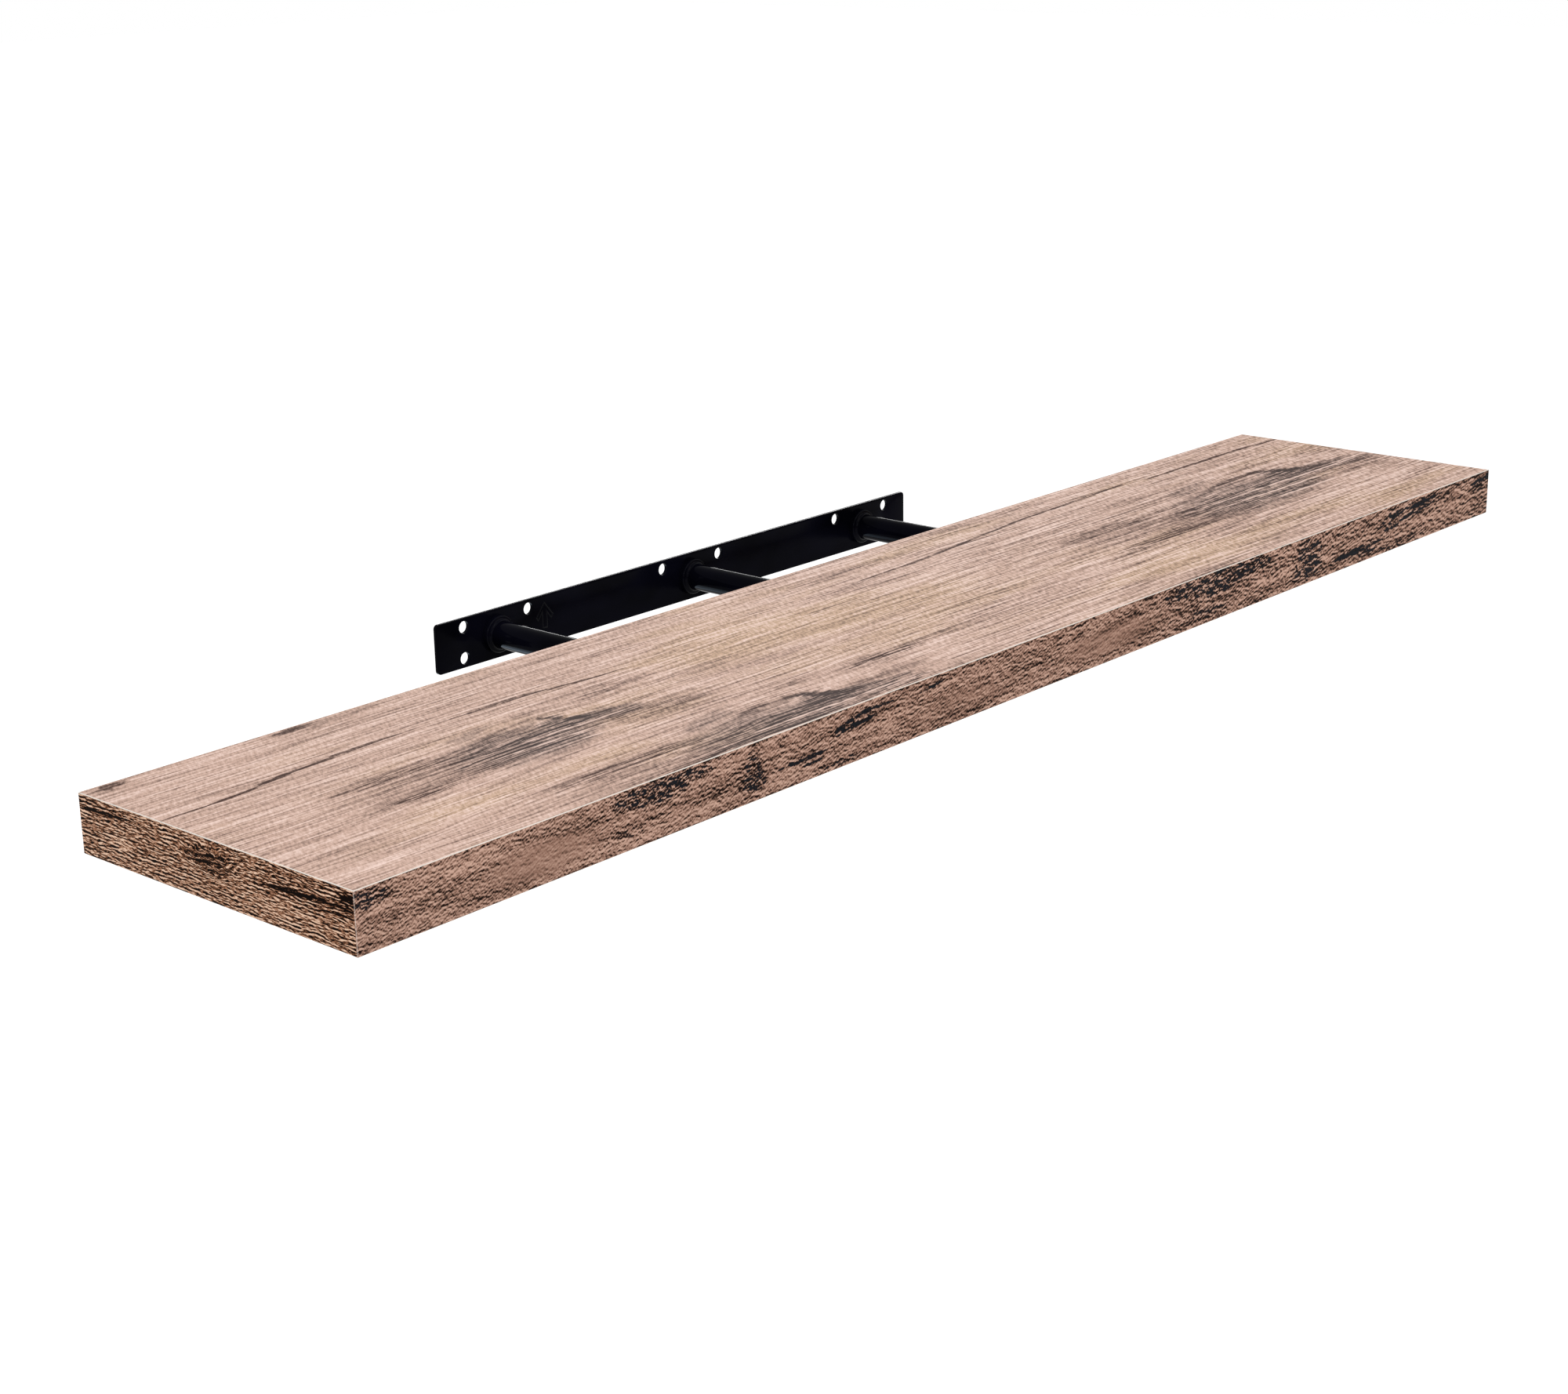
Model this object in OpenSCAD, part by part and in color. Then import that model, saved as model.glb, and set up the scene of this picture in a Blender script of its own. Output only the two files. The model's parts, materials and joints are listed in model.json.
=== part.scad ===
// Floating wall shelf: a hollow-core board that slides onto the rods of a steel wall bracket.
// Millimetres. +X runs along the shelf, +Z is up, and the wall is the plane Y = 0, with the room at -Y.
// The origin is the centre of the back of the wall plate. The board stands part way off its rods.

/* [Board] */
// Length of the board, end to end
board_len = 1200; // [900:10:1500]
// Depth of the board, back edge to front face
board_depth = 235; // [215:5:300]
// Thickness of the board over both laminates
board_thick = 36; // [35:1:50]
// Thickness of the printed laminate on the top and on the underside
laminate_t = 0.5; // [0.3:0.1:0.8]
// Thickness of each fibreboard panel under its laminate
panel_t = 2.5; // [2:0.1:3]
// Thickness of the bands glued on the front and on the ends
band_t = 0.8; // [0.5:0.1:2]
// Chamfer along the outer edges of the bands
band_ease = 0.3; // [0.1:0.05:0.45]

/* [Board core] */
// Width of the rail along the front
front_rail_w = 30; // [20:1:34]
// Width of the rail along the back, which the rods go through
back_rail_w = 40; // [25:1:60]
// Width of the rail at each end
end_rail_w = 30; // [20:1:60]
// Width of each block that is bored for a rod
guide_w = 50; // [34:1:80]
// Width of a honeycomb cell across its flats
cell_w = 25; // [20:1:40]
// Thickness of the honeycomb's card
card_t = 0.6; // [0.4:0.1:1.2]

/* [Wall plate] */
// Length of the wall plate
plate_len = 500; // [400:10:620]
// Height of the wall plate
plate_h = 35; // [33:1:40]
// Thickness of the wall plate
plate_t = 3; // [2:0.5:5]
// Corner radius of the wall plate
plate_corner = 3; // [1:0.5:8]
// Diameter of the screw holes
hole_dia = 8.5; // [5:0.5:9]
// Distance of a hole's centre from the plate's top or bottom edge
hole_edge = 6.5; // [6:0.5:8]
// Distance of the outer holes' centres from the plate's ends
end_margin = 25; // [15:1:40]
// Distance of a hole from the rod beside it, along the plate
hole_offset = 30; // [24:1:36]

/* [Rods] */
// Length of each tube, from the front of the plate
rod_len = 162; // [125:1:175]
// Outer diameter of the tubes
rod_dia = 19; // [14:0.5:20]
// Wall thickness of the tubes
rod_wall = 1.5; // [1:0.1:3]
// Outer diameter of the collars at the foot of the rods
collar_dia = 26; // [25:0.5:27.5]
// Length of the collar's full diameter, along the rod
collar_len = 4; // [2.5:0.5:6]
// Radius of the collar's rounded rim
collar_round = 1; // [0.4:0.1:1.5]
// Radius of the hollow fillet between the collar and its tube
neck_fillet = 2; // [0.5:0.1:3]
// Width of the small lip where the fillet ends on the tube
neck_lip = 0.3; // [0.2:0.05:0.5]
// Length of the end plug's head
plug_head = 3; // [2:0.5:6]
// Chamfer round the nose of the plug's head
plug_chamfer = 1.2; // [0.3:0.1:1.8]
// Length of the plug's shank inside the tube
plug_shank = 12; // [6:1:30]
// Step from the tube's outside in to the plug's head
plug_step = 0.25; // [0.1:0.05:0.6]

/* [Fits and travel] */
// Travel from the place shown until the board is home on the wall
slide_home = 98; // [60:1:115]
// Gap between the board's back and the plate when the board is home
home_gap = 0.5; // [0.3:0.1:2]
// Clearance round a rod in its bore
rod_clearance = 0.5; // [0.3:0.05:0.8]
// Clearance round a collar in its counterbore
collar_clearance = 0.6; // [0.4:0.1:1]
// Room left in front of the collars when the board is home
collar_room = 1.5; // [0.5:0.5:4]
// Room left in front of the end plugs when the board is home
nose_room = 6; // [1:1:12]
// Clearance between a collar and its tube, where it is brazed on
collar_fit = 0.05; // [0.02:0.01:0.1]
// Clearance between a plug's shank and its tube
plug_fit = 0.05; // [0.02:0.01:0.1]

/* [Hidden] */

// Sides, as signs along X
LEFT = -1;
CENTRE = 0;
RIGHT = 1;
SIDES = [LEFT, RIGHT];

// Length by which a cutting solid runs past the face that it opens
cut_over = 1;
// Smoothness of round forms
$fn = 96;

// Places along Y, from the wall to the front
plate_front = -plate_t;
board_back = plate_front - home_gap - slide_home;
board_front = board_back - board_depth;
core_back = board_back;
core_front = board_front + band_t;
bay_back = core_back - back_rail_w;
bay_front = core_front + front_rail_w;
bay_depth = bay_back - bay_front;

// Places along X and Z
core_end = board_len / 2 - band_t;
rail_inner = core_end - end_rail_w;
guide_half = guide_w / 2;
board_top = board_thick / 2;
panel_top = board_top - laminate_t;
core_top = panel_top - panel_t;
core_h = 2 * core_top;

// Rods and what fits them: each end rod stands one offset in from its outer hole
rod_pitch = plate_len / 2 - end_margin - hole_offset;
rod_r = rod_dia / 2;
tube_bore_r = rod_r - rod_wall;
collar_r = collar_dia / 2;
collar_bore_r = rod_r + collar_fit;
neck_r = collar_bore_r + neck_lip;
// The fillet goes no further out than the flat inside the rounded rim
fillet_r = min(neck_fillet, collar_r - collar_round - neck_r);
neck_end = collar_len + fillet_r;
nose = rod_len + plug_head;
bore_r = rod_r + rod_clearance;
bore_depth = nose - home_gap + nose_room;
counterbore_r = collar_r + collar_clearance;
counterbore_depth = neck_end - home_gap + collar_room;
hole_height = plate_h / 2 - hole_edge;

function rod_x(place) = place * rod_pitch;

// A bay of honeycomb takes a whole number of cells each way, at least two
function cells_across(width) = max(2, round(width / cell_w));
function rows_deep(depth) = max(2, round(depth / (cell_w * sin(60))));

// Outline of one open cell: a hexagon on a grid of the two pitches, drawn in by half the card
function cell_outline(across, deep) =
    let (
        half = across / 2,
        rise = deep / 3,
        slant = norm([half, rise]),
        tip = 2 * rise - card_t / 2 * slant / half,
        side = half - card_t / 2,
        shoulder = tip - rise * side / half
    )
    [[0, tip], [-side, shoulder], [-side, -shoulder], [0, -tip], [side, -shoulder], [side, shoulder]];

// Solid between two corners
module block(low, high) {
    translate(low)
        cube(high - low);
}

// Sets what is drawn upright along +Z on the wall side at y, pointing out into the room
module outwards(x, y, z = 0) {
    translate([x, y, z])
        rotate([90, 0, 0])
            children();
}

// Rectangle with round corners, centred
module rounded_plate(length, height, radius) {
    square([length - 2 * radius, height], center = true);
    square([length, height - 2 * radius], center = true);
    for (x = SIDES, y = SIDES)
        translate([x * (length / 2 - radius), y * (height / 2 - radius)])
            circle(r = radius);
}

module screw_hole(x, z) {
    outwards(x, cut_over, z)
        cylinder(h = plate_t + 2 * cut_over, d = hole_dia);
}

// A hole on each side of every rod, and one more under each end hole
module wall_plate() {
    color("#0d0e13")
        difference() {
            outwards(0, 0)
                linear_extrude(plate_t)
                    rounded_plate(plate_len, plate_h, plate_corner);
            for (place = [LEFT, CENTRE, RIGHT], side = SIDES)
                screw_hole(rod_x(place) + side * hole_offset, hole_height);
            for (side = SIDES)
                screw_hole(rod_x(side) + side * hole_offset, -hole_height);
        }
}

module rod(place) {
    color("#08080b")
        outwards(rod_x(place), plate_front)
            difference() {
                cylinder(h = rod_len, r = rod_r);
                translate([0, 0, -cut_over])
                    cylinder(h = rod_len + 2 * cut_over, r = tube_bore_r);
            }
}

// Profile of a collar: full diameter with a round rim, then a hollow fillet down to a lip on the tube
module collar_profile() {
    difference() {
        union() {
            translate([collar_bore_r, 0])
                square([collar_r - collar_round - collar_bore_r, collar_len]);
            translate([collar_bore_r, 0])
                square([collar_r - collar_bore_r, collar_len - collar_round]);
            translate([collar_r - collar_round, collar_len - collar_round])
                circle(r = collar_round);
            translate([collar_bore_r, 0])
                square([neck_r + fillet_r - collar_bore_r, neck_end]);
        }
        translate([neck_r + fillet_r, neck_end])
            circle(r = fillet_r);
    }
}

module rod_collar(place) {
    color("#0b0b10")
        outwards(rod_x(place), plate_front)
            rotate_extrude()
                collar_profile();
}

// Plastic plug: its shank sits in the tube and its head closes the end
module rod_plug(place) {
    shank_r = tube_bore_r - plug_fit;
    head_r = rod_r - plug_step;
    color("#1b1b1f")
        outwards(rod_x(place), plate_front - rod_len)
            rotate_extrude()
                polygon([
                    [0, -plug_shank],
                    [shank_r, -plug_shank],
                    [shank_r, 0],
                    [head_r, 0],
                    [head_r, plug_head - plug_chamfer],
                    [head_r - plug_chamfer, plug_head],
                    [0, plug_head]
                ]);
}

module top_laminate() {
    color("#b8957e")
        block([-core_end, core_front, panel_top], [core_end, core_back, board_top]);
}

module bottom_laminate() {
    color("#b8957e")
        block([-core_end, core_front, -board_top], [core_end, core_back, -panel_top]);
}

module top_panel() {
    color("#8a6a4c")
        block([-core_end, core_front, core_top], [core_end, core_back, panel_top]);
}

module bottom_panel() {
    color("#8a6a4c")
        block([-core_end, core_front, -panel_top], [core_end, core_back, -core_top]);
}

module front_rail() {
    color("#d9bf95")
        block([-core_end, core_front, -core_top], [core_end, bay_front, core_top]);
}

// Bore for one rod, as deep from the board's back as the rod needs with the board home
module rod_bore(place) {
    outwards(rod_x(place), board_back + cut_over)
        cylinder(h = bore_depth + cut_over, r = bore_r);
}

module collar_counterbore(place) {
    outwards(rod_x(place), board_back + cut_over)
        cylinder(h = counterbore_depth + cut_over, r = counterbore_r);
}

module back_rail() {
    color("#d9bf95")
        difference() {
            block([-core_end, bay_back, -core_top], [core_end, core_back, core_top]);
            for (place = [LEFT, CENTRE, RIGHT]) {
                rod_bore(place);
                collar_counterbore(place);
            }
        }
}

module end_rail(side) {
    middle = side * (core_end + rail_inner) / 2;
    color("#d9bf95")
        block(
            [middle - end_rail_w / 2, bay_front, -core_top],
            [middle + end_rail_w / 2, bay_back, core_top]
        );
}

module rod_guide(place) {
    color("#cfb084")
        difference() {
            block(
                [rod_x(place) - guide_half, bay_front, -core_top],
                [rod_x(place) + guide_half, bay_back, core_top]
            );
            rod_bore(place);
        }
}

// Expanded card honeycomb that fills one bay: its edges cut the cells through their middles
module honeycomb(from_x, to_x) {
    across = (to_x - from_x) / cells_across(to_x - from_x);
    deep = bay_depth / rows_deep(bay_depth);
    color("#b99a6c")
        translate([from_x, bay_front, -core_top])
            linear_extrude(core_h)
                difference() {
                    square([to_x - from_x, bay_depth]);
                    for (row = [0 : rows_deep(bay_depth)])
                        for (column = [0 : cells_across(to_x - from_x)])
                            translate([(column + (row % 2 == 0 ? 1 : -1) / 4) * across, row * deep])
                                polygon(cell_outline(across, deep));
                }
}

// Section of a band, from its glued face at 0 out to its thickness, over the board's full height
module band_section() {
    polygon([
        [0, -board_top],
        [band_t - band_ease, -board_top],
        [band_t, -board_top + band_ease],
        [band_t, board_top - band_ease],
        [band_t - band_ease, board_top],
        [0, board_top]
    ]);
}

// Covers the end bands' front edges too
module front_edge_band() {
    color("#a08068")
        translate([board_len / 2, core_front, 0])
            rotate([90, 0, -90])
                linear_extrude(board_len)
                    band_section();
}

module end_edge_band(side) {
    color("#8f7058")
        mirror([side == LEFT ? 1 : 0, 0, 0])
            translate([core_end, core_back, 0])
                rotate([90, 0, 0])
                    linear_extrude(core_back - core_front)
                        band_section();
}

wall_plate();
rod(LEFT);  // rod_left
rod(CENTRE);  // rod_centre
rod(RIGHT);  // rod_right
rod_collar(LEFT);  // rod_collar_left
rod_collar(CENTRE);  // rod_collar_centre
rod_collar(RIGHT);  // rod_collar_right
rod_plug(LEFT);  // rod_plug_left
rod_plug(CENTRE);  // rod_plug_centre
rod_plug(RIGHT);  // rod_plug_right
top_laminate();
bottom_laminate();
top_panel();
bottom_panel();
front_rail();
back_rail();
end_rail(LEFT);  // left_end_rail
end_rail(RIGHT);  // right_end_rail
rod_guide(LEFT);  // rod_guide_left
rod_guide(CENTRE);  // rod_guide_centre
rod_guide(RIGHT);  // rod_guide_right
honeycomb(-rail_inner, rod_x(LEFT) - guide_half);  // honeycomb_left_end
honeycomb(rod_x(LEFT) + guide_half, -guide_half);  // honeycomb_left
honeycomb(guide_half, rod_x(RIGHT) - guide_half);  // honeycomb_right
honeycomb(rod_x(RIGHT) + guide_half, rail_inner);  // honeycomb_right_end
front_edge_band();
end_edge_band(LEFT);  // left_edge_band
end_edge_band(RIGHT);  // right_edge_band
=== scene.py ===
"""Looks of a floating wall shelf: a printed hollow-core board on the rods of a black steel bracket.

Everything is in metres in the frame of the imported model: +X along the shelf, +Y into the wall, +Z up.
Prints are drawn in millimetres on the board, from its middle along X and from its front edge back.
"""

import json
import math

import bmesh
import bpy
import numpy as np
from bpy.props import FloatProperty, FloatVectorProperty, PointerProperty
from mathutils import Euler, Matrix, Vector
from mathutils.geometry import delaunay_2d_cdt


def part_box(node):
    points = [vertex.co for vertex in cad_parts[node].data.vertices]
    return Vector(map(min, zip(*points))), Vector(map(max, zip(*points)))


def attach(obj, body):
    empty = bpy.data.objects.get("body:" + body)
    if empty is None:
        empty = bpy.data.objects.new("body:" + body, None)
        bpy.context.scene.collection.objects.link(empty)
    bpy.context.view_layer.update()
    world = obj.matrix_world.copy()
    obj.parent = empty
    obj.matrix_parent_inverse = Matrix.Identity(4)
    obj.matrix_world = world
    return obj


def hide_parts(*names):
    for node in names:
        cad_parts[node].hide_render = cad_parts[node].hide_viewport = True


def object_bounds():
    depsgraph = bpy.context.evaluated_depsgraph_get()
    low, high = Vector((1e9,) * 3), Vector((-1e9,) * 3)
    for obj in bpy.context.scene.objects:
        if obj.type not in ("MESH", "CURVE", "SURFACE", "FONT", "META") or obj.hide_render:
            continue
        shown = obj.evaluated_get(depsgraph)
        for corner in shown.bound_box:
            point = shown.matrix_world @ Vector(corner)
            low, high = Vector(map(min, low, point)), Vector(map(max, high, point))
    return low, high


bl_info = {
    "name": "Floating wall shelf",
    "version": (1, 0, 0),
    "blender": (4, 5, 0),
    "location": "3D View > Sidebar > Wall shelf",
    "description": "Builds the looks of a floating wall shelf round its packed model",
    "category": "Object",
}

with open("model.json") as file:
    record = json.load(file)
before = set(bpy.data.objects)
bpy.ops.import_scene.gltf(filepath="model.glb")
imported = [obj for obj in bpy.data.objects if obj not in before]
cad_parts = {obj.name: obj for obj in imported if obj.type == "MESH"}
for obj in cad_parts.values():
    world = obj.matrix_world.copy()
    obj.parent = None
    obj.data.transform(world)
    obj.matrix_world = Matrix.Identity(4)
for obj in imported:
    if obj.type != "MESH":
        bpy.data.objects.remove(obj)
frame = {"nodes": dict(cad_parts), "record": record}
CAD_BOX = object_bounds()

BRACKET = "bracket"
BOARD = "shelf"
PLACES = ("left", "centre", "right")
MM = 0.001
MERGE_WITHIN = 0.002 * MM
ARROW_SINK = 0.1 * MM
WHITE = (1.0, 1.0, 1.0)
PALE_BLUE = (0.62, 0.8, 1.0)


def linear(red, green, blue):
    """Linear colour of a screen colour given from 0 to 255: a straight foot, then the power 2.4."""
    share = np.array([red, green, blue]) / 255
    curve = np.where(share <= 0.04045, share / 12.92, ((share + 0.055) / 1.055) ** 2.4)
    return tuple(float(c) for c in curve)


def opaque(colour):
    """Colour with full alpha, as a node's colour socket takes it."""
    return (*colour, 1.0)


def number(label, text, value, **limits):
    """Number property with its label and description."""
    return FloatProperty(name=label, description=text, default=value, **limits)


def length(label, text, value, least=0.0):
    """Length property, in metres."""
    return number(label, text, value, min=least, unit="LENGTH", precision=5)


def angle(label, text, degrees):
    """Angle property, given in degrees."""
    return number(label, text, math.radians(degrees), subtype="ANGLE")


def triple(label, text, value, **limits):
    """Property of three numbers."""
    return FloatVectorProperty(name=label, description=text, default=value, size=3, **limits)


def colour(label, text, *screen):
    """Colour property, given as a screen colour from 0 to 255."""
    return triple(label, text, linear(*screen), min=0.0, max=1.0, subtype="COLOR")


class ShelfSizes(bpy.types.PropertyGroup):
    plate_corner: length("Plate corner", "Radius of the wall plate's round corners", 3.0 * MM)
    plate_edge: length("Plate edge", "Rounding of the wall plate's edges under its coat", 0.5 * MM)
    hole_rim: length("Hole rim", "Rounding of the screw holes' rims", 0.45 * MM)
    arrow_along: length("Arrow along", "Place of the raised arrow's tip along the plate", -150.0 * MM, -1.0)
    arrow_up: length("Arrow up", "Height of the raised arrow's tip above the plate's middle", 12.4 * MM)
    arrow_width: length("Arrow width", "Width of the raised arrow's head", 15.6 * MM)
    arrow_height: length("Arrow height", "Height of the raised arrow from foot to tip", 18.2 * MM)
    arrow_line: length("Arrow line", "Width of the arrow's raised outline", 1.1 * MM)
    arrow_relief: length("Arrow relief", "Height of the arrow's outline over the plate", 0.35 * MM)
    tube_wall: length("Tube wall", "Thickness of the tubes' walls", 1.5 * MM)
    tube_edge: length("Tube edge", "Rounding of the tubes' outer ends", 0.3 * MM)
    collar_fit: length("Collar fit", "Room between a collar and its tube", 0.05 * MM)
    collar_lip: length("Collar lip", "Distance of the collar's thin lip out from the tube", 0.35 * MM)
    collar_length: length("Collar length", "Length of a collar's full diameter", 4.0 * MM)
    collar_round: length("Collar rounding", "Radius of the collars' rounded rim", 1.0 * MM)
    plug_fit: length("Plug fit", "Room between a plug's shank and its tube", 0.05 * MM)
    plug_nose: length("Plug nose", "Rounding of a plug's head", 1.2 * MM)
    band_ease: length("Band easing", "Rounding of the edge bands' outer edges", 0.3 * MM)


class ShelfFinish(bpy.types.PropertyGroup):
    top_dark: colour("Top, dark", "Darkest grain of the top print", 62, 35, 25)
    top_pink: colour("Top, pink", "Middle tone of the top print's pinkish part", 206, 172, 155)
    top_tan: colour("Top, tan", "Middle tone of the top print's yellower part", 206, 172, 145)
    top_pale: colour("Top, pale", "Palest flecks of the top print", 241, 213, 201)
    smoke_dark: colour("Smoke, dark", "Darkest streaks of the smoky patches", 50, 37, 34)
    smoke: colour("Smoke", "Middle tone of the smoky patches", 192, 164, 152)
    front_black: colour("Front, black", "Black patches of the front print", 28, 30, 35)
    front_dark: colour("Front, dark", "Bark marks of the front print", 16, 8, 6)
    front_middle: colour("Front", "Middle tone of the front print", 155, 118, 101)
    front_pale: colour("Front, pale", "Palest ridges of the front print", 226, 186, 166)
    end_dark: colour("End, dark", "Dark lines of the end print", 12, 4, 2)
    end_middle: colour("End", "Middle tone of the end print", 161, 110, 81)
    end_pale: colour("End, pale", "Palest ridges of the end print", 250, 212, 184)
    # Painted highlight: this pale colour is painted along the bands' eased edges where light catches them
    edge_highlight: colour("Edge highlight", "Pale core at the bands' cut edges", 240, 230, 220)
    coat: colour("Coat", "Black coat of the bracket", 5, 5, 12)
    plug: colour("Plug plastic", "Black plastic of the tubes' end plugs", 30, 30, 33)
    fibreboard: colour("Fibreboard", "Raw brown fibreboard", 138, 104, 74)
    softwood: colour("Softwood", "Raw planed softwood", 214, 184, 142)
    card: colour("Card", "Kraft card of the honeycomb", 184, 152, 108)


class ShelfStage(bpy.types.PropertyGroup):
    lens: number("Lens", "Focal length for a sensor 36 mm wide", 60.971, min=1.0, unit="CAMERA")
    azimuth: angle("Azimuth", "Where the camera stands round the object", -48.398)
    elevation: angle("Elevation", "How far the camera looks down", 17.460)
    roll: angle("Roll", "Turn of the camera about its own line of sight", 0.989)
    camera_place: triple(
        "Camera", "Where the camera stands", (-1.37783, -1.31573, 0.50285), subtype="TRANSLATION"
    )
    floor_depth: length("Floor", "Depth of the floor under the board", 1.6)
    floor_half: length("Floor size", "Half of the floor's width", 30.0)
    floor_glow: number("Floor glow", "Strength of the floor's own light, seen directly", 0.62, min=0.0)
    sky: number("Sky", "Strength of the even light from all round", 0.62, min=0.0)


# Meshes


def add_piece(name, surface, body, slot, material, *replaced, sharp_angle=math.radians(32)):
    """New finished piece on a body, from a surface's points and faces.

    Points that coincide are merged, and faces are turned outwards and made smooth, with edges steeper than
    the angle left sharp.
    """
    points, faces = surface
    mesh = bpy.data.meshes.new(name)
    mesh.from_pydata([tuple(p) for p in points], [], [tuple(int(i) for i in f) for f in faces])
    work = bmesh.new()
    work.from_mesh(mesh)
    bmesh.ops.remove_doubles(work, verts=work.verts, dist=MERGE_WITHIN)
    bmesh.ops.recalc_face_normals(work, faces=work.faces)
    work.to_mesh(mesh)
    work.free()
    piece = bpy.data.objects.new(name, mesh)
    bpy.context.scene.collection.objects.link(piece)
    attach(piece, body)
    if replaced:
        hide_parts(*replaced)
    mesh.materials.append(material)
    mesh.polygons.foreach_set("use_smooth", np.ones(len(mesh.polygons), bool))
    mesh.set_sharp_from_angle(angle=sharp_angle)


def grid_quads(rows, columns, closed_rows=False, closed_columns=False):
    """Quads of a grid of points numbered row by row: a point, the next one, and the two above them."""
    r = np.arange(rows if closed_rows else rows - 1)
    c = np.arange(columns if closed_columns else columns - 1)
    r, c = (a.ravel() for a in np.meshgrid(r, c, indexing="ij"))
    up, on = (r + 1) % rows, (c + 1) % columns
    return np.stack([r * columns + c, r * columns + on, up * columns + on, up * columns + c], 1)


def quarter(start, count=6):
    """Angles of a quarter turn from a start, in quarters."""
    return (start + np.linspace(0, 1, count)) * math.pi / 2


def turned(section, axis_x, sides=96):
    """Surface turned round an axis along Y through (axis_x, 0).

    The section is a closed loop of (radius, y). A point of it goes to axis_x + radius sin(angle) along X and
    to radius cos(angle) along Z, and keeps its y.
    """
    radius, along = np.array(section, float).T
    angle = np.arange(sides) * 2 * math.pi / sides
    points = np.stack(
        [
            axis_x + np.outer(radius, np.sin(angle)),
            np.repeat(along[:, None], sides, 1),
            np.outer(radius, np.cos(angle)),
        ],
        -1,
    )
    return points.reshape(-1, 3), grid_quads(len(radius), sides, True, True)


def rectangle_outline(half_x, half_z, radius, steps=12):
    """Outline of a rectangle with round corners: a corner's centre plus its radius times a unit normal."""
    turns = [quarter(k, steps) for k in range(4)]
    normals = np.concatenate([np.stack([np.cos(a), np.sin(a)], 1) for a in turns])
    signs = np.repeat([[1, 1], [-1, 1], [-1, -1], [1, -1]], steps, axis=0)
    return signs * [half_x - radius, half_z - radius] + radius * normals, normals


def hole_outline(x, z, radius, steps=64):
    """Outline of a round hole. Its normals point out of the metal, so towards the hole's centre."""
    angle = np.arange(steps) * 2 * math.pi / steps
    ray = np.stack([np.cos(angle), np.sin(angle)], 1)
    return np.array([x, z]) + radius * ray, -ray


def rim(outline, normals, ease, front, back):
    """Wall of a plate along an outline: a section of (inset, y) whose edges are quarter circles.

    A point of the wall is the outline's point minus its normal times the inset.
    """
    first, second = quarter(0), quarter(1)
    inset = np.concatenate([ease * (1 - np.sin(first)), ease * (1 - np.sin(second))])
    along = np.concatenate([back - ease * (1 - np.cos(first)), front + ease * (1 + np.cos(second))])
    flat = outline[None] - normals[None] * inset[:, None, None]
    points = np.stack([flat[..., 0], np.repeat(along[:, None], len(outline), 1), flat[..., 1]], -1)
    return points.reshape(-1, 3), grid_quads(len(inset), len(outline), False, True), flat[0]


def pierced_plate(outer, holes, front, back):
    """Flat plate with rounded edges: a wall along each outline, and two faces between their insets."""
    points, faces, rings = [], [], []
    count = 0
    for outline, normals, ease in [outer, *holes]:
        wall, quads, ring = rim(outline, normals, ease, front, back)
        points.append(wall)
        faces += [tuple(q) for q in quads + count]
        rings.append(ring)
        count += len(wall)
    flat = np.concatenate(rings)
    edges, at = [], 0
    for ring in rings:
        edges += [(at + k, at + (k + 1) % len(ring)) for k in range(len(ring))]
        at += len(ring)
    inside_edges, nearest = 1, 1e-9
    found, _, triangles, *_ = delaunay_2d_cdt([Vector(p) for p in flat], edges, [], inside_edges, nearest)
    found = np.array([tuple(p) for p in found])
    triangles = np.array([tuple(t) for t in triangles])
    middle = found[triangles].mean(1)
    centres = np.array([ring.mean(0) for ring in rings[1:]])
    reach = np.array([np.linalg.norm(ring[0] - ring.mean(0)) for ring in rings[1:]])
    outside = (np.linalg.norm(middle[:, None] - centres[None], axis=-1) > reach).all(1)
    for y in (front, back):
        points.append(np.stack([found[:, 0], np.full(len(found), y), found[:, 1]], 1))
        faces += [tuple(t) for t in triangles[outside] + count]
        count += len(found)
    return np.concatenate(points), faces


def raised_line(path, width, relief, base, sink):
    """Rounded ridge along a closed path in the XZ plane, with mitred corners.

    A point is the path's point plus its mitre times the offset across, raised by the relief times a half
    sine.
    """
    ahead = np.roll(path, -1, 0) - path
    ahead /= np.linalg.norm(ahead, axis=1, keepdims=True)
    side = np.stack([-ahead[:, 1], ahead[:, 0]], 1)
    before = np.roll(side, 1, 0)
    mitre = (side + before) / (1 + (side * before).sum(1, keepdims=True))
    share = np.linspace(0, 1, 9)
    across = np.concatenate([[0], share, [1]]) - 0.5
    height = np.concatenate([[-sink], relief * np.sin(math.pi * share), [-sink]])
    flat = path[None] + mitre[None] * (across * width)[:, None, None]
    along_y = np.repeat((base - height)[:, None], len(path), 1)
    points = np.stack([flat[..., 0], along_y, flat[..., 1]], -1)
    return points.reshape(-1, 3), grid_quads(len(across), len(path), True, True)


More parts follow.
